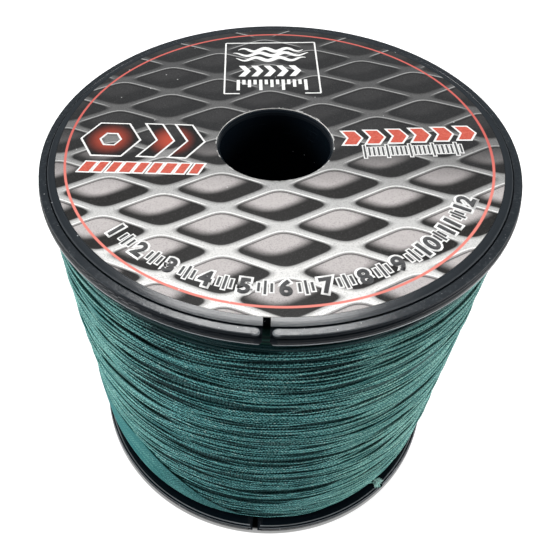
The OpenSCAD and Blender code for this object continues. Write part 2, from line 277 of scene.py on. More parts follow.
def printedLabel():
    material, tree, inMm = finishTree("printedLabel")
    east, north, height, away = polar(tree, inMm)
    rise, stripe, tint = tree.rise, tree.stripe, tree.tint
    x, y, far = east / label["radius"], north / label["radius"], away / label["radius"]
    # place in the slanting cells of the mesh, from -0.5 to 0.5 across each
    up, down, start = label["cellUp"], label["cellDown"], label["cellCentre"]
    area = up[0] * down[1] - down[0] * up[1]
    dx, dy = x - start[0], y - start[1]
    n = dx * (down[1] / area) + dy * (-down[0] / area)
    m = dx * (-up[1] / area) + dy * (up[0] / area)
    n, m = n - n.calc("ROUND"), m - m.calc("ROUND")

    def rounded(a, b, power):
        return ((abs(a) ** power) + (abs(b) ** power)) ** (1 / power)

    q = rounded(n / label["hole"], m / label["hole"], 5.4)
    # towards the front the label's colours are painted paler: partly the print, partly painted reflection
    front = rise(y + (tree.noise(inMm, 0.05, 1.0) - 0.5) * 0.2, 0.06, -0.36)
    # bars of the mesh: dark at the back, near white at the front (partly print, partly painted reflection),
    # rounded in section
    bar = tree.node("ShaderNodeValToRGB", {"stops": label["bars"]}, ((0.9 - y) / 1.8,))
    bar = tint(bar, (0.01, 0.01, 0.01), rise(q, 1.16, 1.0) * 0.45)
    topSide = rise(n - m, 0.0, 0.32)
    bar = tint(bar, tint(*label["edgeLine"], front), stripe(q, 1.07, 0.022, 0.03) * topSide * 0.8)
    # the floor of each hole: a lit patch up and to the left, soft black below it
    lit = rounded((n - 0.10) / 0.106, (m + 0.2) / 0.084, 3.1)
    patch = rise(lit, 4.25, 1.9)
    deep, bright = (tint(shade, pale, patch) for shade, pale in zip(label["shade"], label["lit"]))
    floor = tint(deep, bright, front)
    floor = tint(floor, (0.012, 0.012, 0.012), stripe(q, 0.93, 0.02, 0.025) * topSide * 0.7)
    speckle = tree.noise(inMm, 7.0, 2.0, 0.7)
    chips = rise(away, label["chipped"], 8.48) * rise(tree.noise(inMm, 0.9, 3.0, 0.6), 0.52, 0.6)
    ring = stripe(far, label["ringRadius"], label["ringWidth"] / 2 - 0.001, 0.003)
    colour = tint(bar, floor, rise(q, 1.03, 0.95))
    # grain of the print, the ring (paler towards the front with painted reflection), dust, chips round the
    # bore and the paper's bare edge
    for shade, share in (
            ((0.0, 0.0, 0.0), rise(speckle, 0.52, 0.3) * 0.35),
            ((0.6, 0.59, 0.58), rise(speckle, 0.58, 0.8) * 0.1),
            (tint(label["red"], label["redFront"], front), ring),
            ((0.6, 0.6, 0.6), tree.spots(inMm, 0.5, 0.07, 0.22) * 0.7),
            ((0.5, 0.5, 0.49), chips * 0.8),
            ((0.7, 0.69, 0.67), rise(height, topFace - 0.02, topFace - 0.05))):
        colour = tint(colour, shade, share)
    wavy = tree.noise(inMm, 0.35, 2.0)
    rough = label["roughness"] + (tree.noise(inMm, 0.9, 2.0) - 0.5) * 0.1
    paint(
        tree, Base_Color=colour, Roughness=rough, Normal=bump(tree, wavy * 1.5 + speckle * 0.06, 0.02),
        Specular_IOR_Level=label["gloss"])
    return material


def ink(name, colour, other, glow=None):
    # a flat ink with a slight blotch, and red spots that glow in it where it has any
    material, tree, inMm = finishTree(name)
    blotch = tree.noise(inMm, 3.0, 2.0, 0.7)
    mixed = tree.tint(colour, other, tree.rise(blotch, 0.35, 0.75))
    if glow:
        east, north, height, away = polar(tree, inMm)
        warm = 0.0
        for spotX, spotY in glow["spots"]:
            near = ((east - spotX) ** 2 + (north - spotY) ** 2).calc("SQRT")
            warm = tree.rise(near, glow["reach"], 0.4) + warm
        mixed = tree.tint(mixed, glow["colour"], warm.atMost(1.0))
    paint(
        tree, Base_Color=mixed, Roughness=label["roughness"] + (blotch - 0.5) * 0.1,
        Specular_IOR_Level=label["gloss"])
    return material


heart = {"spots": [(-24.0, -0.5), (-15.0, -0.4)], "reach": 3.9, "colour": (0.36, 0.058, 0.036)}  # mm

line = {
    "colour": (0.006, 0.102, 0.106),
    "crown": (0.335, 0.63, 0.54),
    "slitSideCrown": (0.215, 0.585, 0.58),
    "deep": (0.0005, 0.011, 0.0135),
    "glint": (0.55, 0.82, 0.77),
    "roughness": 0.5,
    "gloss": 0.1,
    "pick": 0.5,  # mm of line for one repeat of the braid
    "reliefDepth": 0.035,  # mm
    "leftSide": (-15.0, -27.0),  # mm to the east between which the painted shade and highlights are weaker
    "slitSide": (-26.0, -33.2),  # and towards the slits, where the painted shade and highlights are stronger
}


def towardsSlits(east, north):
    return north * 0.9925 + east * 0.122


def braidedLine():
    material, tree, inMm = finishTree("braidedLine")

    def carried(name):
        return tree.node("ShaderNodeAttribute", {"attribute_name": name}, {}, "Fac")

    def zigzag(value):
        return (value - value.calc("FLOOR") - 0.5).calc("ABSOLUTE") * 2

    along, across = carried("alongLine") / (line["pick"] * mm), carried("acrossLine")
    # lineDepth carries the painted shade between the turns, lineTone the line's tone
    depth, tone = carried("lineDepth"), carried("lineTone")
    # two sets of strands that cross: the zigzag of a round braid
    lean = across * 0.42
    weave = zigzag(along + lean).atLeast(zigzag(along - lean))
    hair = tree.noise(inMm, 4.3, 3.0, 0.7)
    patchy = tree.noise(inMm, 0.16, 2.0)
    # painted highlight on the crowns of the braid, where its strands cross
    crown = tree.rise(weave * 0.38 + hair * 1.1, 0.6, 1.08)
    # towards the slits the painted shade between the turns is deeper and the painted highlights brighter
    east, north, height, away = polar(tree, inMm)
    nearSlits = tree.rise(towardsSlits(east, north), *line["slitSide"])
    leftSide = tree.rise(east, *line["leftSide"])
    share = crown * (0.66 + nearSlits * 0.34 - leftSide * 0.16 + (tone - 0.5) * 1.0 + (patchy - 0.5) * 0.8)
    pale = tree.tint(line["crown"], line["slitSideCrown"], nearSlits)
    colour = tree.tint(line["colour"], pale, share.atMost(1.0))
    # painted glints on the strands
    glint = tree.rise(tree.noise(inMm, 3.1, 2.0, 0.6), 0.57, 0.7)
    colour = tree.tint(colour, line["glint"], (glint * crown * tone * (1 + nearSlits * 2.2)).atMost(1.0))
    # painted shade on the sides of each strand, and the winding's painted shade between the turns
    inner = nearSlits * -0.3 + 0.6
    sides = tree.rise(abs(across - 0.12), inner, inner + 0.5)
    hollowShade = depth.atLeast(sides * (nearSlits * 0.34 + 0.62 - leftSide * 0.32))
    dark = (hollowShade + nearSlits * (0.55 - crown) * 0.5).atLeast(depth).atMost(0.98)
    colour = tree.tint(colour, line["deep"], dark)
    paint(
        tree, Base_Color=colour, Roughness=line["roughness"] + (hair - 0.5) * 0.25,
        Normal=bump(tree, weave * 0.7 + hair * 0.6, line["reliefDepth"]), Specular_IOR_Level=line["gloss"])
    return material


plasticFinish = spoolPlastic()
labelFinish = printedLabel()
lineFinish = braidedLine()
whiteInk = ink("whiteInk", (0.78, 0.78, 0.77), (0.66, 0.66, 0.65))
darkInk = ink("darkInk", (0.062, 0.064, 0.067), (0.09, 0.089, 0.088))
redInk = ink("redInk", (0.44, 0.08, 0.056), (0.54, 0.125, 0.09))
glowInk = ink("glowInk", (0.012, 0.012, 0.012), (0.02, 0.02, 0.02), heart)
print("spool: finishes made")


def linked(name, data):
    made = bpy.data.objects.new(name, data)
    bpy.context.scene.collection.objects.link(made)
    return made


def evaluatedMesh(piece):
    bpy.context.view_layer.update()
    return bpy.data.meshes.new_from_object(piece.evaluated_get(bpy.context.evaluated_depsgraph_get()))


def meshPiece(name, mesh):
    data = bpy.data.meshes.new(name)
    mesh.to_mesh(data)
    mesh.free()
    return linked(name, data)


def settle(piece, slotName, finishes, *nodes):
    # a finished piece: its finish, its body and the solids that it stands for
    for finish in finishes:
        piece.data.materials.append(finish)
    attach(piece, "root")
    if nodes:
        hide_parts(*nodes)


def settleLine(piece, node, *finishes):
    settle(piece, "braided_line", finishes, node)


socketKinds = {int: "Int", float: "Float", Vector: "Vector", bpy.types.Material: "Material"}


def startTree(name, sizes):
    # a tree with one named input for each size
    group = bpy.data.node_groups.new(name, "GeometryNodeTree")
    for key, value in sizes.items():
        group.interface.new_socket(
            name=key, in_out="INPUT", socket_type="NodeSocket" + socketKinds[type(value)])
    group.interface.new_socket(name="Geometry", in_out="OUTPUT", socket_type="NodeSocketGeometry")
    tree = Tree(group)
    source = group.nodes.new("NodeGroupInput")
    given = {key: Wire(tree, source.outputs[key]) for key in sizes}
    return group, tree, SimpleNamespace(**given)


def grow(name, group, sizes):
    # runs a tree once and keeps its result as a plain mesh
    base = linked(name + "Base", bpy.data.meshes.new(name + "Base"))
    modifier = base.modifiers.new("tree", "NODES")
    modifier.node_group = group
    for item in group.interface.items_tree:
        if item.in_out == "INPUT":
            modifier[item.identifier] = sizes[item.name]
    mesh = evaluatedMesh(base)
    base.modifiers.remove(modifier)
    bpy.data.objects.remove(base)
    mesh.name = name
    return linked(name, mesh)


def keep(tree, geometry, marks):
    for name, value in marks.items():
        geometry = tree.node("GeometryNodeStoreNamedAttribute", {"data_type": "FLOAT", "domain": "POINT"}, {
            "Geometry": geometry, "Name": name, "Value": value})
    return geometry


def tube(tree, curve, width, depth, sides, finish, marks):
    # a flattened round section carried along a level curve, with what the finish reads kept on both
    curve = keep(tree, curve, marks)
    upright = tree.node("GeometryNodeSetCurveNormal", {"mode": "Z_UP"}, {"Curve": curve})
    circle = tree.node("GeometryNodeCurvePrimitiveCircle", {"mode": "RADIUS"}, {
        "Resolution": sides, "Radius": 1.0})
    circle = keep(tree, circle, {"acrossLine": tree.split(tree.node("GeometryNodeInputPosition"))[1]})
    section = tree.vector(depth * 0.5, width * 0.5, 1.0)
    circle = tree.node("GeometryNodeTransform", {}, {"Geometry": circle, "Scale": section})
    whole = tree.node("GeometryNodeCurveToMesh", {}, {
        "Curve": upright, "Profile Curve": circle, "Fill Caps": True})
    whole = tree.node("GeometryNodeRealizeInstances", {}, {0: whole})
    dressed = tree.node("GeometryNodeSetMaterial", {}, {"Geometry": whole, "Material": finish})
    tree.node("NodeGroupOutput", {}, {0: dressed})


def facing(angle):
    return angle.calc("COSINE"), angle.calc("SINE")


class Threads:
    # a set of separate threads, each drawn through its own row of points
    def __init__(self, tree, count, points, seed):
        self.tree, self.seed = tree, seed
        self.cloud = tree.node("GeometryNodePoints", {}, {"Count": count * points})
        index = tree.node("GeometryNodeInputIndex")
        self.which = (index / points).calc("FLOOR")
        self.part = (index - self.which * points) / (points - 1)  # 0 to 1 along each

    def chance(self, shift, low, high):
        # one number for each thread, the same every time
        return self.tree.node("FunctionNodeRandomValue", {"data_type": "FLOAT"}, {
            "Min": low, "Max": high, "ID": self.which + shift * 1000.0, "Seed": self.seed}, "Value")

    def through(self, place):
        moved = self.tree.node("GeometryNodeSetPosition", {}, {"Geometry": self.cloud, "Position": place})
        return self.tree.node("GeometryNodePointsToCurves", {}, {
            "Points": moved, "Curve Group ID": self.which, "Weight": self.part})

    def lay(self, given, angle, away, height, shift, depth, tone):
        # the winding's line, through places in mm, with depth as its painted shade
        east, north = facing(angle)
        curves = self.through(self.tree.vector(east * away * mm, north * away * mm, height * mm))
        tube(self.tree, curves, given.lineWidth * mm, given.lineDepth * mm, given.sides, given.finish, {
            "alongLine": angle * given.radius * mm + shift, "lineDepth": depth, "lineTone": tone})


winding = {
    "turns": 49,
    "pointsPerTurn": 150,
    "sides": 6,
    "firstTurn": 0.0,
    "darkening": 0.0,
    "seed": 1.0,
    "lowestHeight": 3.77,  # middle of the lowest turn; this and all below in mm
    "pitch": 0.4,
    "radius": 32.98,  # middle of the line in the outer layer
    "lineWidth": 0.38,
    "lineDepth": 0.36,
    "groupHeight": 1.5,  # up the spool between one bunch of turns and the next
    "groupLength": 21.0,  # round the spool over which a bunch keeps together
    "wander": 1.5,
    "bunching": 0.4,
    "stray": 0.3,
    "lump": 0.55,
    "bottomDraw": 0.9,
    "topDraw": 0.8,
}
pureNumbers = ("turns", "pointsPerTurn", "sides", "firstTurn", "darkening", "seed")

heights = {  # between which each of these sets in, mm
    "bottomFade": (3.75, 5.35),
    "topFade": (62.35, 60.75),
    "bottomDraw": (14.2, 3.2),
    "topDraw": (57.7, 63.0),
    "topShade": (58.8, 60.5),
    "upperShade": (44.0, 60.0),
}


def woundWith(**changes):
    # the sizes of a winding in metres
    sizes = dict(winding, **changes)
    sizes = {key: value if key in pureNumbers else value * mm for key, value in sizes.items()}
    return dict(sizes, finish=lineFinish)


def windingTree():
    group, tree, given = startTree("turnsOfLine", woundWith())
    points, pitch, radius = given.pointsPerTurn, given.pitch, given.radius
    thread = tree.node("GeometryNodeMeshLine", {"mode": "OFFSET"}, {
        "Count": given.turns * points + 1, "Offset": (0, 0, 0.001)})
    thread = tree.node("GeometryNodeMeshToCurve", {}, {"Mesh": thread})
    turn = tree.node("GeometryNodeInputIndex") / points + given.firstTurn
    angle = turn * tau
    east, north = facing(angle)
    plain = given.lowestHeight + pitch * turn

    def setsIn(name):
        return tree.rise(plain, *(height * mm for height in heights[name]))

    def drift(height, length, tall, shift, detail=0.0):
        # a smooth wandering round and up the spool, from about -0.5 to 0.5
        reach = radius / length
        place = tree.vector(east * reach, north * reach, height / tall + given.seed * 17.3 + shift)
        return tree.noise(place, 1.0, detail) - 0.5

    tall, long = given.groupHeight, given.groupLength

    def gathered(height):
        return drift(height, long, tall, 0.0) + drift(height, long * 0.42, tall * 0.62, 20.0) * 0.5

    lower, upper = gathered(plain - tall * 0.1), gathered(plain + tall * 0.1)
    spread = (upper - lower) / (tall * 0.2) * given.wander  # room that opens, as a share of the pitch
    single = drift(plain, 0.013, pitch * 0.8, 40.0)
    height = plain + (lower + upper) * 0.5 * given.wander + single * given.stray
    height = plain + (height - plain) * (setsIn("bottomFade") * setsIn("topFade"))
    swell = drift(plain, 0.02, 0.007, 80.0)
    drawn, tucked = setsIn("bottomDraw"), setsIn("topDraw")
    opened = spread.atLeast(-0.6).atMost(1.2)
    away = radius + swell * given.lump - opened * given.bunching
    away = away - drawn * drawn * given.bottomDraw - tucked * given.topDraw
    away = away + drift(plain, 0.005, pitch * 0.8, 120.0, 1.0) * 0.00016
    thread = tree.node("GeometryNodeSetPosition", {}, {
        "Geometry": thread, "Position": tree.vector(east * away, north * away, height)})
    # painted shade between the turns where they open apart, deeper towards the slits and under the upper rim,
    # lighter on the left; the tone varies more towards the slits
    nearSlits = tree.rise(towardsSlits(east, north), -0.78, -0.98)
    flank = tree.rise(abs(east), 0.72, 0.95)
    leftSide = tree.rise(east, -0.45, -0.8)
    shaded = tree.rise(opened, 0.05, 0.9 - nearSlits * 0.35) * (0.85 + nearSlits * 0.12 - leftSide * 0.5)
    shaded = shaded + given.darkening + setsIn("topShade") * 0.95
    tube(tree, thread, given.lineWidth, given.lineDepth, given.sides, given.finish, {
        "alongLine": angle * radius,
        "lineDepth": shaded + setsIn("upperShade") * (0.18 + flank * 0.16),
        "lineTone": drift(plain, 0.02, pitch * 0.7, 160.0, 1.0) * (1.4 + nearSlits * 0.9) + 0.5})
    return group


turnsOfLine = windingTree()
shownTurns = [
    grow(name, turnsOfLine, woundWith(firstTurn=float(first), turns=turns))
    for name, first, turns in (
        ("lineLowerTurns", 0, 49), ("lineMiddleTurns", 49, 49), ("lineUpperTurns", 98, 48))]
# the layer under the outer turns, with painted shade all over it
underTurns = grow("lineUnderTurns", turnsOfLine, woundWith(
    turns=146, pointsPerTurn=90, sides=5, radius=winding["radius"] - 0.36, seed=3.0, wander=0.5,
    darkening=0.75, bunching=0.1))
for piece in shownTurns:
    settleLine(piece, "line_outer_layer")
settleLine(underTurns, "line_pack")
print("spool: line wound", [len(piece.data.polygons) for piece in (*shownTurns, underTurns)])

bed = {  # mm
    "inner": 27.55, "outer": 32.45, "low": 3.55, "high": 62.45, "round": 0.6,
    "drawnFoot": 0.6, "drawnShin": 0.25,  # how far the lower part lies further in
    "segments": 192, "cornerSteps": 4,
    # painted shade: the line's teal made near black for the layers below
    "colours": ((0.001, 0.008, 0.007), (0.008, 0.045, 0.036)),
}


def lineBed():
    # the layers below, one closed ring with rounded outer edges
    outer, low, high, bend, steps = (bed[key] for key in ("outer", "low", "high", "round", "cornerSteps"))
    foot = outer - bed["drawnFoot"] - bend
    turns = [math.radians(90 * step / steps) for step in range(steps + 1)]
    ring = [(bed["inner"], low), (foot, low)]
    ring += [(foot + bend * math.sin(turn), low + bend * (1 - math.cos(turn))) for turn in turns]
    ring += [(outer - bed["drawnShin"], low + 5), (outer, low + 11)]
    ring += [(outer - bend + bend * math.cos(turn), high - bend + bend * math.sin(turn)) for turn in turns]
    ring.append((bed["inner"], high))
    mesh = bmesh.new()
    rows = []
    for spot in range(bed["segments"]):
        east, north = math.cos(tau * spot / bed["segments"]), math.sin(tau * spot / bed["segments"])
        rows.append([mesh.verts.new((r * mm * east, r * mm * north, z * mm)) for r, z in ring])
    for here, there in zip(rows, rows[1:] + rows[:1]):
        for k in range(len(ring)):
            after = (k + 1) % len(ring)
            mesh.faces.new((here[k], there[k], there[after], here[after]))
    return smoothPiece("lineBed", mesh)


def smoothPiece(name, mesh):
    bmesh.ops.recalc_face_normals(mesh, faces=mesh.faces)
    for face in mesh.faces:
        face.smooth = True
    return meshPiece(name, mesh)


def bedFinish():
    material, tree, inMm = finishTree("lineDeepInShade")
    strands = tree.node("ShaderNodeTexWave", {"wave_type": "BANDS", "bands_direction": "Z"}, {
        "Vector": inMm, "Scale": 0.4, "Distortion": 1.5, "Detail": 2.0, "Detail Scale": 0.3})
    hair = tree.noise(inMm, 5.0, 3.0, 0.6)
    paint(
        tree, Base_Color=tree.tint(*bed["colours"], strands * hair), Roughness=0.6 + (hair - 0.5) * 0.2,
        Normal=bump(tree, strands, 0.1), Specular_IOR_Level=0.08)
    return material


settleLine(lineBed(), "line_pack", bedFinish())

slipped = {
    "count": 43,
    "points": 110,
    "sides": 6,
    "step": 0.405,  # mm between neighbours
    "start": 118.0,  # degrees round from +X where they come up
    "bend": 231.0,  # degrees where they turn down across the others
    "soft": 6.0,  # degrees over which they turn
    "top": 20.85,  # height of the topmost one, mm
    "slope": 0.468,  # mm down for each degree
    "floor": 3.45,
    "lift": 0.3,  # how far they lie over the turns below
    "seed": 2.0,
}


def overWinding(sizes, *shared):
    # sizes in mm and degrees, with what they share with the winding
    shared = {key: winding[key] for key in ("radius", "lineWidth", "lineDepth", *shared)}
    return dict(sizes, **shared, finish=lineFinish)


def slippedTree():
    # sizes here are in mm and degrees; the places are brought to metres at the end
    group, tree, given = startTree("turnsThatSlipped", overWinding(slipped, "bottomDraw"))
    threads = Threads(tree, given.count, given.points, given.seed)
    which, part = threads.which, threads.part
    start, bend, soft, lift = given.start, given.bend, given.soft, given.lift
    down = (given.top - which * given.step - given.floor).atLeast(0.12) / given.slope
    last = (bend + down - soft * soft / (down * 4)).atLeast(start + 40)
    degrees = start + (last - start) * part
    past = degrees - bend
    bent = (past + (past * past + soft * soft).calc("SQRT")) * 0.5
    angle = degrees * (tau / 360)
    east, north = facing(angle)
    plain = given.top - which * given.step - bent * given.slope
    seed = given.seed * 11.0

    def drift(reach, up):
        return tree.noise(tree.vector(east * reach, north * reach, up), 1.0, 1.0) - 0.5

    jitter = drift(2.4, which * 0.9 + seed)
    gather = drift(2.0, which * 0.22 + seed + 30)
    height = plain + jitter * 0.16 + gather * 0.5 * tree.rise(which, 0.0, 3.0)
    height = height.atLeast(given.floor + 0.1)
    drawn = tree.rise(height, 14.0, 3.0)
    sink = tree.rise(part, 0.12, 0.0) + tree.rise(part, 0.975, 1.0) * 0.7
    away = given.radius + lift - drawn * drawn * given.bottomDraw - sink * (lift + 0.35)
    away = away + jitter * 0.12 + drift(1.6, plain * 0.14 + seed) * 0.35
    # a little painted shade on the turns that the gathering moves down
    hollowShade = tree.rise(gather * -1, 0.12, 0.3) * 0.12
    threads.lay(given, angle, away, height, which * 0.00023, hollowShade, jitter * 1.6 + 0.06)
    return group


slippedTurns = grow("lineSlippedTurns", slippedTree(), overWinding(slipped, "bottomDraw"))
settleLine(slippedTurns, "line_outer_layer")
print("spool: slipped turns", len(slippedTurns.data.polygons))

crossing = {
    "count": 22,
    "points": 80,
    "sides": 6,
    "lowest": 7.0,  # mm
    "highest": 59.0,
    "leastSpan": 50.0,  # degrees round the spool
    "mostSpan": 130.0,
    "mostDrop": 3.6,  # mm
    "lift": 0.2,
    "seed": 5,
}


def crossingTree():
    # single turns that run aslant over the others and dive in again at both ends
    group, tree, given = startTree("turnsThatCross", overWinding(crossing))
    threads = Threads(tree, given.count, given.points, given.seed)
    which, part, chance = threads.which, threads.part, threads.chance
    degrees = chance(1, 0.0, 360.0) + chance(2, given.leastSpan, given.mostSpan) * part
    # every second one falls, the others rise
    drop = (which - (which / 2).calc("FLOOR") * 2 - 0.5) * 2 * chance(3, 0.35, 1.0) * given.mostDrop
    ease = part * part * (3 - part * 2)
    height = chance(4, given.lowest, given.highest) + drop * (ease - 0.5)
    angle = degrees * (tau / 360)
    east, north = facing(angle)
    end = abs(part * 2 - 1) ** 5
    uneven = tree.noise(tree.vector(east * 3, north * 3, which * 3.7), 1.0, 1.0) - 0.5
    away = given.radius + given.lift - end * (given.lift + 0.5) + uneven * 0.3
    # their ends, where they dive in, carry painted shade
    threads.lay(given, angle, away, height, 0.0, end * 0.6, chance(5, 0.45, 1.0))
    return group


crossingTurns = grow("lineCrossingTurns", crossingTree(), overWinding(crossing))
settleLine(crossingTurns, "line_outer_layer")
print("spool: crossing turns", len(crossingTurns.data.polygons))

for node, finish in (
        ("upper_half", plasticFinish), ("lower_half", plasticFinish), ("top_label", labelFinish)):
    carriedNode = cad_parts[node]
    carriedNode.data.materials.clear()
    carriedNode.data.materials.append(finish)

prints = {  # heights of the printed films, mm
    "base": topFace - 0.005, "under": topFace + 0.01, "over": topFace + 0.05,
    "step": 0.0004,  # each shape stands this much higher than the last
}


def wayRound(loop):
    # the same loop, running anticlockwise
    turning = sum(a[0] * b[1] - b[0] * a[1] for a, b in zip(loop, loop[1:] + loop[:1]))
    return loop[::-1] if turning < 0 else loop


class Stamp:
    # flat shapes with a little thickness, collected into one mesh
    def __init__(self):
        self.mesh, self.laid = bmesh.new(), 0

    def shape(self, loop, finish, top, level=True):
        # no two faces lie in one plane, so each shape on a level of its own is a hair higher
        loop = wayRound(list(loop))
        self.laid += 1 if level else 0
        top += self.laid * prints["step"]
        unit = label["radius"] * mm
        low, high = (
            [self.mesh.verts.new((x * unit, y * unit, height * mm)) for x, y in loop]
            for height in (prints["base"], top))
        faces = []
        for a, b, c in tessellate_polygon([[Vector((x, y, 0)) for x, y in loop]]):
            (ax, ay), (bx, by), (cx, cy) = loop[a], loop[b], loop[c]
            if (bx - ax) * (cy - ay) < (by - ay) * (cx - ax):
                b, c = c, b
            faces.append(self.mesh.faces.new((high[a], high[b], high[c])))
            faces.append(self.mesh.faces.new((low[c], low[b], low[a])))
        for k in range(len(loop)):
            after = (k + 1) % len(loop)
            faces.append(self.mesh.faces.new((low[k], low[after], high[after], high[k])))
        for face in faces:
            face.material_index = finish

    def hexRing(self, centre, outer, inner, finish, top):
        # a six-sided ring, open in the middle
        corners = [(math.cos(math.radians(60 * k)), math.sin(math.radians(60 * k))) for k in range(7)]
        for k, (a, b) in enumerate(zip(corners, corners[1:])):
            loop = [(size * x, size * y) for size, (x, y) in ((outer, a), (outer, b), (inner, b), (inner, a))]
            self.shape([(centre[0] + x, centre[1] + y) for x, y in loop], finish, top, k == 0)

    def edged(self, loop, edge, finish=1):
        # a shape with a pale edge round it
        self.shape(grown(loop, edge), 0, prints["under"])
        self.shape(loop, finish, prints["over"])

    def strip(self, path, widths):
        # a white ribbon along a path
        left, right = [], []
        for k, (x, y) in enumerate(path):
            before, after = path[max(k - 1, 0)], path[min(k + 1, len(path) - 1)]
            dx, dy = after[0] - before[0], after[1] - before[1]
            size = math.hypot(dx, dy)
            half = widths[k] / 2
            left.append((x - dy / size * half, y + dx / size * half))
            right.append((x + dy / size * half, y - dx / size * half))
        self.shape(right + left[::-1], 0, prints["under"])

    def piece(self, name, finishes):
        settle(meshPiece(name, self.mesh), "label_film", finishes)


def grown(loop, edge):
    # every side moved out by the edge's width, corners kept sharp up to a limit
    loop = wayRound(list(loop))
    sharpest, flat = 0.45, 1e-6
    out = []
    for k, (x, y) in enumerate(loop):
        before, after = loop[k - 1], loop[(k + 1) % len(loop)]
        a = Vector((x - before[0], y - before[1])).normalized()
        b = Vector((after[0] - x, after[1] - y)).normalized()
        normal = Vector((a.y + b.y, -(a.x + b.x)))
        if normal.length < flat:
            normal = Vector((a.y, -a.x))
        normal.normalize()
        reach = edge / max(sharpest, normal.dot(Vector((a.y, -a.x))))
        out.append((x + normal.x * reach, y + normal.y * reach))
    return out


def turned(points, centre, degrees):
    c, s = math.cos(math.radians(degrees)), math.sin(math.radians(degrees))
    return [(centre[0] + (x * c - y * s), centre[1] + (x * s + y * c)) for x, y in points]


# sizes of the prints are shares of the pattern's unit, angles are in degrees
badge = {
    "centre": (-0.034, 0.58), "half": 0.2215, "turn": 3.3, "line": 0.0075,
    "opening": 0.15,  # half the gap in its lower side
    "swells": ((0.155, 0.16), (0.115, 0.185), (0.072, 0.17)),  # height and half length of each
    "swellPoints": 40, "swellHeight": 0.014, "swellShift": 1.2, "thin": 0.003, "thick": 0.024,
    "arrow": [
        (-0.028, 0.012), (0.002, 0.012), (0.03, -0.034), (0.002, -0.08), (-0.028, -0.08), (0.0, -0.034)],
    "arrows": 5, "firstArrow": -0.128, "arrowStep": 0.06,
    "bars": 13, "barStep": 0.0262, "barTop": -0.11, "barWidth": 0.015,
    "barLengths": (0.085, 0.038, 0.06, 0.038),
}


def badgePrint():
    stamp = Stamp()
    half, gap, steps = badge["half"], badge["opening"], badge["swellPoints"]

    def put(points):
        return turned(points, badge["centre"], badge["turn"])

    # a square frame, open below
    for side in (
            [(-half, half), (half, half)], [(half, half), (half, -half)], [(-half, -half), (-half, half)],
            [(-half, -half), (-gap, -half)], [(gap, -half), (half, -half)]):
        stamp.strip(put(side), [badge["line"]] * 2)
    # three swells of water, thick in the middle
    for row, (low, long) in enumerate(badge["swells"]):
        path, widths = [], []
        for t in (k / steps for k in range(steps + 1)):
            wave = math.sin(t * 3 * tau + row * badge["swellShift"])
            path.append(((t - 0.5) * 2 * long, low + badge["swellHeight"] * wave))
            widths.append(badge["thin"] + badge["thick"] * math.sin(math.pi * t) ** 0.8)
        stamp.strip(put(path), widths)
    # a row of arrowheads
    for k in range(badge["arrows"]):
        x = badge["firstArrow"] + k * badge["arrowStep"]
        stamp.shape(put([(x + dx, y) for dx, y in badge["arrow"]]), 0, prints["under"])
    # a row of graduated bars
    top, lengths = badge["barTop"], badge["barLengths"]
    for k in range(badge["bars"]):
        x = (k - badge["bars"] // 2) * badge["barStep"]
        stamp.strip(put([(x, top), (x, top - lengths[k % len(lengths)])]), [badge["barWidth"]] * 2)
    stamp.piece("labelBadge", [whiteInk])


hexagon = {"centre": (-0.703, -0.014), "outer": 0.1335, "inner": 0.0405, "edge": 0.01}
bigArrows = {
    "outline": [
        (-0.058, 0.108), (0.006, 0.108), (0.07, 0.0), (0.006, -0.108), (-0.058, -0.108), (0.006, 0.0)],
    "places": ((-0.503, -0.012), (-0.372, -0.012)), "turn": -1, "edge": 0.0085,
}


def arrowsPrint():
    # a six-sided ring and two arrowheads, black with a red heart
    stamp = Stamp()
    centre, outer, inner, edge = (hexagon[key] for key in ("centre", "outer", "inner", "edge"))
    stamp.hexRing(centre, outer, inner, 0, prints["under"])
    stamp.hexRing(centre, outer - edge, inner + edge, 1, prints["over"])
    for place in bigArrows["places"]:
        stamp.edged(turned(bigArrows["outline"], place, bigArrows["turn"]), bigArrows["edge"])
    stamp.piece("labelArrows", [whiteInk, glowInk])


redBars = {"count": 9, "start": (-0.765, -0.199), "step": (0.0565, 0.001), "turn": 0, "edge": 0.008}
redArrows = {"count": 6, "start": (0.325, 0.043), "step": (0.095, 0.01139), "turn": 3, "edge": 0.0085}
gauge = {"count": 22, "start": (0.372, -0.046), "step": (0.0187, 0.0019), "turn": 3, "edge": 0.005}


def slantedBar(k):
    half, lean, tall = 0.017 if k % 3 else 0.021, 0.011, 0.03
    return [(-half - lean, -tall), (half - lean, -tall), (half + lean, tall), (-half + lean, tall)]


def smallArrow(k):
    return [(-0.037, -0.043), (0.012, -0.043), (0.037, 0.0), (0.012, 0.043), (-0.037, 0.043), (-0.015, 0.0)]


def gaugeMark(k):
    half, tall = 0.0038, 0.026 if k % 5 else 0.04
    return [(-half, -tall), (half, -tall), (half, tall), (-half, tall)]


def rowPrint(name, finishes, row, outline):
    stamp = Stamp()
    (x, y), (dx, dy) = row["start"], row["step"]
    for k in range(row["count"]):
        stamp.edged(turned(outline(k), (x + dx * k, y + dy * k), row["turn"]), row["edge"])
    stamp.piece(name, finishes)


dial = {
    "radius": 0.80, "first": -136.0, "last": -25.5, "numbers": 12,
    "size": 0.092, "bold": 0.0036, "edge": 0.0085,
    "middle": 0.35,  # of a number's size, from its foot
    "narrow": (0.34, 0.16),  # first tick and step after a number of one digit, as shares of the space
    "wide": (0.42, 0.1),  # and after one of two
    "tickLengths": (0.019, 0.03, 0.019), "tickHalf": 0.0045, "tickEdge": 0.0055,
}


def dialAngle(number):
    return math.radians(dial["first"] + (dial["last"] - dial["first"]) * number / (dial["numbers"] - 1))


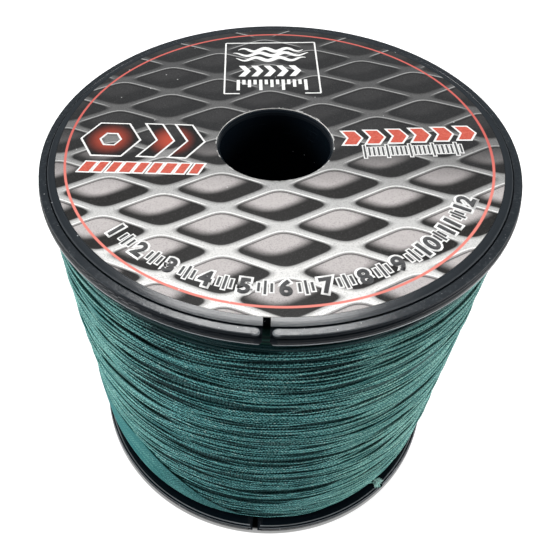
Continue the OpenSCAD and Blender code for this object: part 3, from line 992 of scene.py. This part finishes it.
def digits(number, thick):
    # one number as a flat mesh, lying at the origin, its strokes widened
    unit = label["radius"] * mm
    text = bpy.data.curves.new("number", "FONT")
    text.body, text.align_x = str(number), "CENTER"
    text.size, text.offset, text.resolution_u = dial["size"] * unit, thick * unit, 4
    holder = linked("number", text)
    flat = evaluatedMesh(holder)
    bpy.data.objects.remove(holder)
    part = bmesh.new()
    part.from_mesh(flat)
    bmesh.ops.remove_doubles(part, verts=part.verts, dist=1e-7)
    for face in part.faces:
        if face.normal.z < 0:
            face.normal_flip()
    return part


def faceOrder(face):
    # by its corners, because raising the faces leaves them in any order
    corners = sorted(v.index for v in face.verts)
    return (corners[0] * 1000 + corners[-1]) * 1000 + corners[1]


def numbersPrint():
    # plain numbers along the front of the label, as on a dial
    unit = label["radius"] * mm
    numbers = bmesh.new()
    films = ((dial["edge"] + dial["bold"], prints["under"], 0), (dial["bold"], prints["over"], 1))
    for number in range(dial["numbers"]):
        a = dialAngle(number)
        spin = Matrix.Rotation(a + math.pi / 2, 4, "Z")
        east, north = math.cos(a) * dial["radius"] * unit, math.sin(a) * dial["radius"] * unit
        for thick, top, finish in films:
            part = digits(number + 1, thick)
            raised = bmesh.ops.extrude_face_region(part, geom=list(part.faces))["geom"]
            raised = {v for v in raised if isinstance(v, bmesh.types.BMVert)}
            part.verts.index_update()
            for v in part.verts:
                place = spin @ Vector((v.co.x, v.co.y - dial["size"] * unit * dial["middle"], 0))
                height = top if v in raised else prints["base"]
                v.co = Vector((place.x + east, place.y + north, height * mm))
            for face in part.faces:
                face.material_index = finish
            bmesh.ops.recalc_face_normals(part, faces=part.faces)
            part.faces.sort(key=faceOrder)
            made = bpy.data.meshes.new("number")
            part.to_mesh(made)
            part.free()
            numbers.from_mesh(made)
    settle(meshPiece("labelNumbers", numbers), "label_film", [whiteInk, darkInk])


def ticksPrint():
    # small ticks between the numbers
    stamp = Stamp()
    for number in range(dial["numbers"] - 1):
        start, gap = dial["narrow"] if number < 9 else dial["wide"]
        for tick, tall in enumerate(dial["tickLengths"]):
            a, half = dialAngle(number + start + gap * tick), dial["tickHalf"]
            c, s = math.cos(a), math.sin(a)
            near, far = dial["radius"] - tall, dial["radius"] + tall
            corners = ((near, -half), (far, -half), (far, half), (near, half))
            stamp.edged([(c * out - s * side, s * out + c * side) for out, side in corners], dial["tickEdge"])
    stamp.piece("labelTicks", [whiteInk, darkInk])


badgePrint()
arrowsPrint()
rowPrint("labelRedBars", [whiteInk, redInk], redBars, slantedBar)
rowPrint("labelRedArrows", [whiteInk, redInk], redArrows, smallArrow)
rowPrint("labelGauge", [whiteInk, darkInk], gauge, gaugeMark)
numbersPrint()
ticksPrint()
print("spool: label printed")

loose = {  # lengths in mm
    "flange": 34.0, "inner": 2.2, "width": 0.4, "angle": -45.0, "sides": 10, "tone": 0.8,
    "route": [  # inward from the rim, aside, and above the flange
        (3.1, -3, 1.3), (3.1, -3, 0.9), (3.05, -2.85, 0.28), (2.8, -2.5, 0.24), (2.4, -1.9, 0.24),
        (2, -1.3, 0.24), (1.6, -0.7, 0.23), (1.2, -0.2, 0.12), (0.8, 0, -0.1), (0.45, 0, -0.3),
        (0.2, 0, -0.45)],
    "fray": (1.75, 0, 0.12),  # where its fibres come loose
    "fibres": 190, "fibrePoints": 9, "fibreLength": 1.85, "fibreWidth": 0.075,
    "frayed": ((0.24, 0.55, 0.49), (0.68, 0.94, 0.88)),
}
clipEast, clipNorth = math.cos(math.radians(loose["angle"])), math.sin(math.radians(loose["angle"]))
outward = Vector((clipEast, clipNorth, 0))


def loosePoint(inward, aside, above):
    x, y = loose["flange"] - inward, aside
    east, north = x * clipEast - y * clipNorth, x * clipNorth + y * clipEast
    return Vector((east * mm, north * mm, (loose["inner"] + above) * mm))


def smoothRoute(route):
    # three more points between each two, on a curve through all of them
    smooth = []
    for k in range(len(route) - 1):
        p0, p1, p2, p3 = route[max(k - 1, 0)], route[k], route[k + 1], route[min(k + 2, len(route) - 1)]
        for t in (0, 0.25, 0.5, 0.75):
            bent = 2 * p1 + (p2 - p0) * t + (2 * p0 - 5 * p1 + 4 * p2 - p3) * t * t
            smooth.append(0.5 * (bent + (3 * p1 - p0 - 3 * p2 + p3) * t ** 3))
    return smooth + [route[-1]]


def looseEnd():
    smooth = smoothRoute([loosePoint(*step) for step in loose["route"]])
    sides = loose["sides"]
    mesh = bmesh.new()
    marks = ("alongLine", "acrossLine", "lineTone")
    along, across, tone = (mesh.verts.layers.float.new(name) for name in marks)
    rings, gone, side = [], 0.0, outward
    for k, p in enumerate(smooth):
        ahead = (smooth[min(k + 1, len(smooth) - 1)] - smooth[max(k - 1, 0)]).normalized()
        side = (side - ahead * side.dot(ahead)).normalized()
        up = side.cross(ahead)
        gone += (p - smooth[k - 1]).length if k else 0
        ring = []
        for s in range(sides):
            c, height = math.cos(tau * s / sides), math.sin(tau * s / sides)
            v = mesh.verts.new(p + (side * c + up * height) * loose["width"] / 2 * mm)
            v[along], v[across], v[tone] = gone, height, loose["tone"]
            ring.append(v)
        rings.append(ring)
    for a, b in zip(rings, rings[1:]):
        for s in range(sides):
            after = (s + 1) % sides
            mesh.faces.new((a[s], a[after], b[after], b[s]))
    mesh.faces.new(rings[0])
    mesh.faces.new(rings[-1][::-1])
    return smoothPiece("lineEnd", mesh)


def frayTree(sizes):
    # fibres that fan out from the end of the line, each with a length and bend of its own
    group, tree, given = startTree("frayedFibres", sizes)
    threads = Threads(tree, given.fibres, given.points, given.seed)
    part, chance, scaled = threads.part, threads.chance, tree.scaled

    def added(a, b):
        return tree.node("ShaderNodeVectorMath", {"operation": "ADD"}, (a, b))

    long = given.length * chance(1, 0.55, 1.0)
    out = scaled(given.outward, long * (part * chance(2, 0.5, 1.0) - part * part * 0.1))
    fan = scaled(given.aside, long * (part * part * chance(3, -0.72, 0.72)))
    rise = tree.vector(0.0, 0.0, long * (part * chance(4, 0.0, 0.5) - part * part * chance(5, 0.1, 0.4)))
    root = added(given.start, scaled(given.aside, chance(6, -0.00016, 0.00016)))
    root = added(root, scaled(given.outward, chance(7, -0.00035, 0.0001)))
    curves = threads.through(added(added(root, out), added(fan, rise)))
    tube(tree, curves, given.width, given.width, 4, given.finish, {})
    return group


def frayedFinish():
    material, tree, inMm = finishTree("frayedLine")
    hair = tree.noise(inMm, 6.0, 2.0, 0.6)
    paint(
        tree, Base_Color=tree.tint(*loose["frayed"], tree.rise(hair, 0.35, 0.65)),
        Roughness=0.55 + (hair - 0.5) * 0.2, Normal=bump(tree, hair, 0.01), Specular_IOR_Level=0.3)
    return material


settleLine(looseEnd(), "line_end", lineFinish)
fraying = {
    "fibres": loose["fibres"], "points": loose["fibrePoints"], "start": loosePoint(*loose["fray"]),
    "outward": outward, "aside": Vector((-outward.y, outward.x, 0)), "length": loose["fibreLength"] * mm,
    "width": loose["fibreWidth"] * mm, "seed": 4, "finish": frayedFinish()}
settleLine(grow("lineFrayedEnd", frayTree(fraying), fraying), "line_end")
print("spool: loose end in its clip")

stage = {
    "fill": 0.2,  # strength of the room's light
    "ceiling": 0.22,  # its ceiling, as seen in gloss
    "floorColour": 0.42,
    "floorLift": 0.8,  # what the camera sees is lifted to white
    "floorSize": 1.5,  # m
    "lamps": {  # place and target in m, size, power
        "topLight": ((0.0, 0.08, 0.62), (0.0, 0.08, 0.0), (0.5, 0.36), 1.6),
        "glossLight": ((-0.012, 0.38, 0.62), (-0.012, 0.38, 0.0), (0.26, 0.115), 2.9),
        "leftLight": ((-0.44, -0.07, 0.13), (0, 0, 0.035), (0.3, 0.3), 3.8),
        "rightLight": ((0.44, -0.09, 0.13), (0, 0, 0.035), (0.3, 0.3), 2.9),
    },
}


def sight(tree):
    # what the camera sees straight, and what it sees in gloss or through glass
    path = tree.node("ShaderNodeLightPath")
    return path.at("Is Camera Ray"), path.at("Is Glossy Ray").atLeast(path.at("Is Transmission Ray"))


def floorPiece():
    mesh = bmesh.new()
    bmesh.ops.create_grid(mesh, x_segments=1, y_segments=1, size=stage["floorSize"])
    piece = meshPiece("floor", mesh)
    material, tree, inMm = finishTree("whiteFloor")
    away = polar(tree, inMm)[3]
    # white up to the spool's edge, with a painted shadow under it and a thin one round its foot
    clear = tree.rise(away, 33.0, 33.5) * 0.35 + tree.rise(away, 34.0, 34.2) * 0.65
    shade = (clear * 0.97 + 0.03) * stage["floorColour"]
    grey = tree.node("ShaderNodeCombineColor", {}, (shade, shade, shade))
    matt = tree.node("ShaderNodeBsdfDiffuse", {}, {"Color": grey})
    straight, mirrored = sight(tree)
    strength = straight.atLeast(mirrored) * clear * stage["floorLift"]
    lift = tree.node("ShaderNodeEmission", {}, {"Color": (1, 1, 1), "Strength": strength})
    surface(tree, tree.node("ShaderNodeAddShader", {}, (matt, lift)))
    piece.data.materials.append(material)


def softbox(name, place, target, size, power):
    lamp = bpy.data.lights.new(name, "AREA")
    lamp.shape, lamp.energy = "RECTANGLE", power
    lamp.size, lamp.size_y = size
    holder = linked(name, lamp)
    holder.location = place
    holder.rotation_euler = (Vector(target) - Vector(place)).to_track_quat("-Z", "Y").to_euler()


def studio():
    world = bpy.data.worlds.new("paleRoom")
    bpy.context.scene.world = world
    tree = emptyTree(world)
    straight, mirrored = sight(tree)
    east, north, up = tree.split(tree.node("ShaderNodeTexCoord", {}, {}, "Generated"))
    room = 1 - tree.rise(up, 0.12, 0.42) * (1 - stage["ceiling"])  # pale walls under a dimmer ceiling
    soft = stage["fill"] * (1 + tree.rise(north, -0.1, -0.9) * -0.75)
    strength = straight + (1 - straight) * (mirrored * room + (1 - mirrored) * soft)
    back = tree.node("ShaderNodeBackground", {}, {"Color": (1, 1, 1), "Strength": strength})
    tree.node("ShaderNodeOutputWorld", {}, (back,))
    floorPiece()
    for name, lamp in stage["lamps"].items():
        softbox(name, *lamp)


camera = {
    "place": (-0.00044, -0.07347, 0.12055),
    "turn": 7.15,
    "right": (0.99889, -0.03653, -0.02975),
    "up": (0.04711, 0.7745, 0.6308),
    "ahead": (0.0, 0.6315, -0.7754),
    "lens": 39.94,
    "sensor": 36.0,
    "nearest": 0.005,
    "shift": (0.1156, 0.0236),
}


def cameraPiece():
    data = bpy.data.cameras.new("studioCamera")
    data.sensor_width, data.lens, data.clip_start = camera["sensor"], camera["lens"], camera["nearest"]
    data.shift_x, data.shift_y = camera["shift"]
    holder = linked("studioCamera", data)
    right, up, ahead = (Vector(camera[name]).normalized() for name in ("right", "up", "ahead"))
    axes = Matrix((right, up, -ahead)).transposed().to_4x4()
    spin = Matrix.Rotation(math.radians(camera["turn"]), 4, "Z")
    holder.matrix_world = Matrix.Translation(camera["place"]) @ spin @ axes
    bpy.context.scene.camera = holder


studio()
cameraPiece()
bpy.context.scene.view_settings.view_transform = "Standard"
print("spool: stage set")
